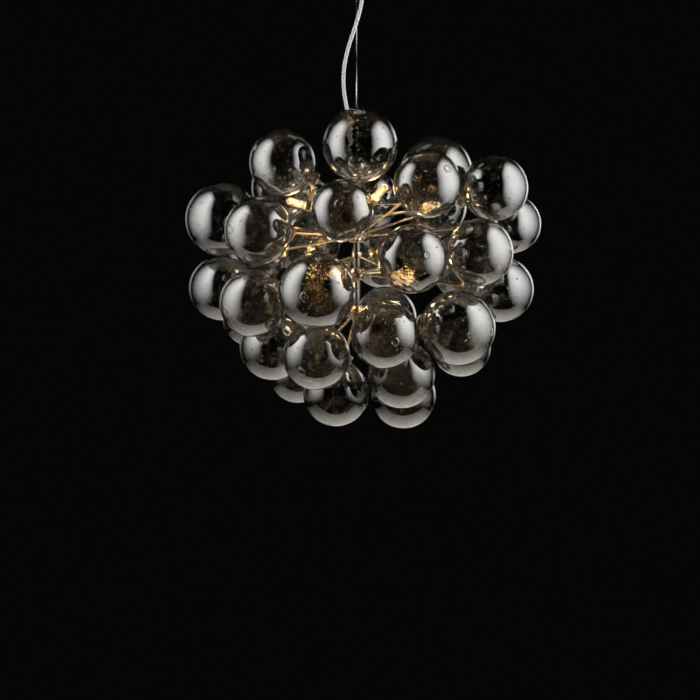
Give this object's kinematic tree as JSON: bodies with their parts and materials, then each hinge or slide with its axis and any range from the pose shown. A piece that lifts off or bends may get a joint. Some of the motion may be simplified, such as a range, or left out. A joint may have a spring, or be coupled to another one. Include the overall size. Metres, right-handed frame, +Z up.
{
  "type": "bubble chandelier",
  "caption": "Pendant lamp: a cluster of smoked glass bubbles on radial chrome arms around lamps, hung by a steel wire and power cord from a round canopy.",
  "frame": {"origin": "centre of the ceiling face, on top of the cross bar inside the canopy", "axes": "+Z up into the ceiling; +X to the right and +Y away for a viewer in front, as in the picture"},
  "size_m": [0.6295, 0.5645, 0.8451],
  "materials": {
    "chrome": "polished",
    "plain_steel": "zinc plated",
    "wire_steel": "bright stranded",
    "clear_cord": "milky clear sheath",
    "ivory_plastic": "moulded",
    "smoked_glass": "blown, smoked, half mirrored",
    "lamp_glass": "warm white capsule"
  },
  "bodies": {
    "ceiling": {"ceiling_bracket": "plain_steel", "canopy": "chrome", "canopy_screw_left": "chrome", "canopy_screw_right": "chrome", "terminal_block": "ivory_plastic"},
    "cross": {"gimbal_cross": "plain_steel"},
    "fork": {"hanging_fork": "plain_steel"},
    "pendant": {"swivel_nut": "plain_steel", "cable_gripper": "chrome", "suspension_wire": "wire_steel", "power_cord": "clear_cord", "top_cap": "chrome", "hub_stem": "chrome", "arm_hub_crown": "chrome", "arm_hub_upper": "chrome", "arm_hub_lower": "chrome", "arm_hub_bottom": "chrome", "lamp_holder_upper": "chrome", "lamp_upper_1": "lamp_glass", "lamp_upper_2": "lamp_glass", "lamp_upper_3": "lamp_glass", "lamp_holder_lower": "chrome", "lamp_lower_1": "lamp_glass", "lamp_lower_2": "lamp_glass", "lamp_lower_3": "lamp_glass", "bubble_01": "smoked_glass", "bubble_02": "smoked_glass", "bubble_03": "smoked_glass", "bubble_04": "smoked_glass", "bubble_05": "smoked_glass", "bubble_06": "smoked_glass", "bubble_07": "smoked_glass", "bubble_08": "smoked_glass", "bubble_09": "smoked_glass", "bubble_10": "smoked_glass", "bubble_11": "smoked_glass", "bubble_12": "smoked_glass", "bubble_13": "smoked_glass", "bubble_14": "smoked_glass", "bubble_15": "smoked_glass", "bubble_16": "smoked_glass", "bubble_17": "smoked_glass", "bubble_18": "smoked_glass", "bubble_19": "smoked_glass", "bubble_20": "smoked_glass", "bubble_21": "smoked_glass", "bubble_22": "smoked_glass", "bubble_23": "smoked_glass", "bubble_24": "smoked_glass", "bubble_25": "smoked_glass", "bubble_26": "smoked_glass", "bubble_27": "smoked_glass", "bubble_28": "smoked_glass", "bubble_29": "smoked_glass", "bubble_30": "smoked_glass", "bubble_31": "smoked_glass", "bubble_32": "smoked_glass", "bubble_33": "smoked_glass", "bubble_34": "smoked_glass"},
    "plunger": {"gripper_plunger": "chrome"}
  },
  "joints": [
    {"name": "swing_front_back", "type": "hinge", "parent": "ceiling", "child": "cross", "pos_m": [0, 0, -0.024], "axis": [1, 0, 0], "range_deg": [-12, 12]},
    {"name": "swing_left_right", "type": "hinge", "parent": "cross", "child": "fork", "pos_m": [0, 0, -0.024], "axis": [0, 1, 0], "range_deg": [-12, 12]},
    {"name": "twist", "type": "hinge", "parent": "fork", "child": "pendant", "pos_m": [0, 0, -0.0363], "axis": [0, 0, 1], "range_deg": [-90, 90]},
    {"name": "gripper_release", "type": "slide", "parent": "pendant", "child": "plunger", "axis": [0, 0, 1], "range_m": [0, 0.0025], "stiffness_N_per_m": 800, "springref_m": -0.004}
  ]
}
